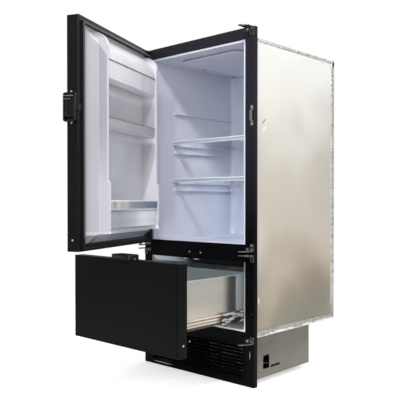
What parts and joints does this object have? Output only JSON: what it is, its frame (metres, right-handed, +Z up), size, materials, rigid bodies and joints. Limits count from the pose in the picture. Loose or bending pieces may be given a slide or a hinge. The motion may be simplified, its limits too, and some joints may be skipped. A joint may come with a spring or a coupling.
{
  "type": "fridge freezer",
  "caption": "Tall flanged fridge freezer: insulated cabinet on a machine box, swing door with bins and a side latch, freezer drawer on telescopic slides with a top latch",
  "frame": {"origin": "centre of the base tray's flat underside, on the floor plane", "axes": "+Z up, -Y out of the front where the door and drawer are, +X to the right of someone facing the front"},
  "size_m": [0.5564, 1.1064, 1.2515],
  "materials": {
    "black_paint": "satin black powder coat",
    "casing_metal": "satin coated sheet steel",
    "foil_tape": "crinkled foil",
    "foam": "rigid insulating foam",
    "fridge_liner": "satin white moulding",
    "freezer_liner": "satin white moulding",
    "door_liner": "satin white moulding",
    "bin_plastic": "satin white moulding",
    "cold_metal": "satin",
    "clear_glass": "clear",
    "trim_plastic": "satin",
    "white_plastic": "satin",
    "lens_plastic": "frosted",
    "zinc_steel": "bright zinc",
    "dark_steel": "dark satin",
    "galvanised": "galvanised",
    "black_plastic": "satin",
    "dark_rubber": "matte",
    "grey_rubber": "matte",
    "black_iron": "black enamel",
    "copper": "bare copper",
    "red_cover": "satin",
    "chrome": "polished",
    "grille_plastic": "satin"
  },
  "bodies": {
    "cabinet": {"face_frame": "black_paint", "shell_wrap": "casing_metal", "shell_back": "casing_metal", "edge_tape": "foil_tape", "cabinet_foam": "foam", "fridge_liner": "fridge_liner", "freezer_liner": "freezer_liner", "ceiling_plate": "cold_metal", "ceiling_fixings": "white_plastic", "freezer_plate": "cold_metal", "shelf_glass": "clear_glass", "shelf_trims": "trim_plastic", "control_housing": "white_plastic", "lamp_lens": "lens_plastic", "hinge_brackets": "black_paint", "cabinet_screws": "zinc_steel", "hinge_pins": "dark_steel", "door_striker": "zinc_steel", "drawer_striker": "black_paint", "grille": "grille_plastic", "machine_box": "galvanised", "base_tray": "galvanised", "compressor": "black_iron", "compressor_grommets": "dark_rubber", "condenser": "cold_metal", "fan_frame": "black_plastic", "control_unit": "black_plastic", "suction_pipe": "copper", "link_pipe": "copper", "liquid_pipe": "copper", "discharge_pipe": "copper", "wire_connectors": "white_plastic", "red_wire": "red_cover", "black_wire": "black_plastic", "slide_outer": "zinc_steel"},
    "knob": {"thermostat_knob": "white_plastic"},
    "fan": {"fan_rotor": "black_plastic"},
    "mid_slides": {"slide_mid": "dark_steel"},
    "door": {"door_shell": "black_paint", "door_foam": "foam", "door_liner": "door_liner", "door_seal": "grey_rubber", "door_bushes": "black_plastic", "door_bin_upper": "bin_plastic", "door_bin_middle": "bin_plastic", "door_bin_lower": "bin_plastic", "bottle_bar": "chrome", "door_latch_housing": "black_plastic", "door_screws": "zinc_steel"},
    "door_latch": {"door_latch_lever": "black_plastic"},
    "drawer": {"drawer_front": "black_paint", "drawer_foam": "foam", "drawer_panel": "door_liner", "drawer_seal": "grey_rubber", "drawer_box": "galvanised", "drawer_latch_housing": "black_plastic", "drawer_screws": "zinc_steel", "slide_inner": "zinc_steel"},
    "drawer_latch": {"drawer_latch_lever": "black_plastic"}
  },
  "joints": [
    {"name": "door_hinge", "type": "hinge", "parent": "cabinet", "child": "door", "pos_m": [-0.255, -0.247, 0.85], "axis": [0, 0, -1], "range_deg": [-67, 53]},
    {"name": "door_latch_pivot", "type": "hinge", "parent": "door", "child": "door_latch", "pos_m": [-0.01461, -0.73399, 0.9445], "axis": [0, 0, -1], "range_deg": [0, 13], "stiffness_Nm_per_rad": 0.25, "springref_deg": -14.32},
    {"name": "drawer_slide", "type": "slide", "parent": "cabinet", "child": "drawer", "axis": [0, 1, 0], "range_m": [0, 0.31]},
    {"name": "mid_slide", "type": "slide", "parent": "cabinet", "child": "mid_slides", "axis": [0, 1, 0], "range_m": [0, 0.155]},
    {"name": "drawer_latch_pivot", "type": "hinge", "parent": "drawer", "child": "drawer_latch", "pos_m": [0, -0.526, 0.464], "axis": [1, 0, 0], "range_deg": [0, 13], "stiffness_Nm_per_rad": 0.25, "springref_deg": -14.32},
    {"name": "fan_spin", "type": "hinge", "parent": "cabinet", "child": "fan", "pos_m": [0.095, -0.082, 0.091], "axis": [0, 1, 0], "continuous": true},
    {"name": "knob_turn", "type": "hinge", "parent": "cabinet", "child": "knob", "pos_m": [0.197, 0.032, 1.085], "axis": [-1, 0, 0], "range_deg": [0, 270]}
  ],
  "couplings": [
    {"joint": "mid_slide", "follows": "drawer_slide", "ratio": 0.5}
  ]
}
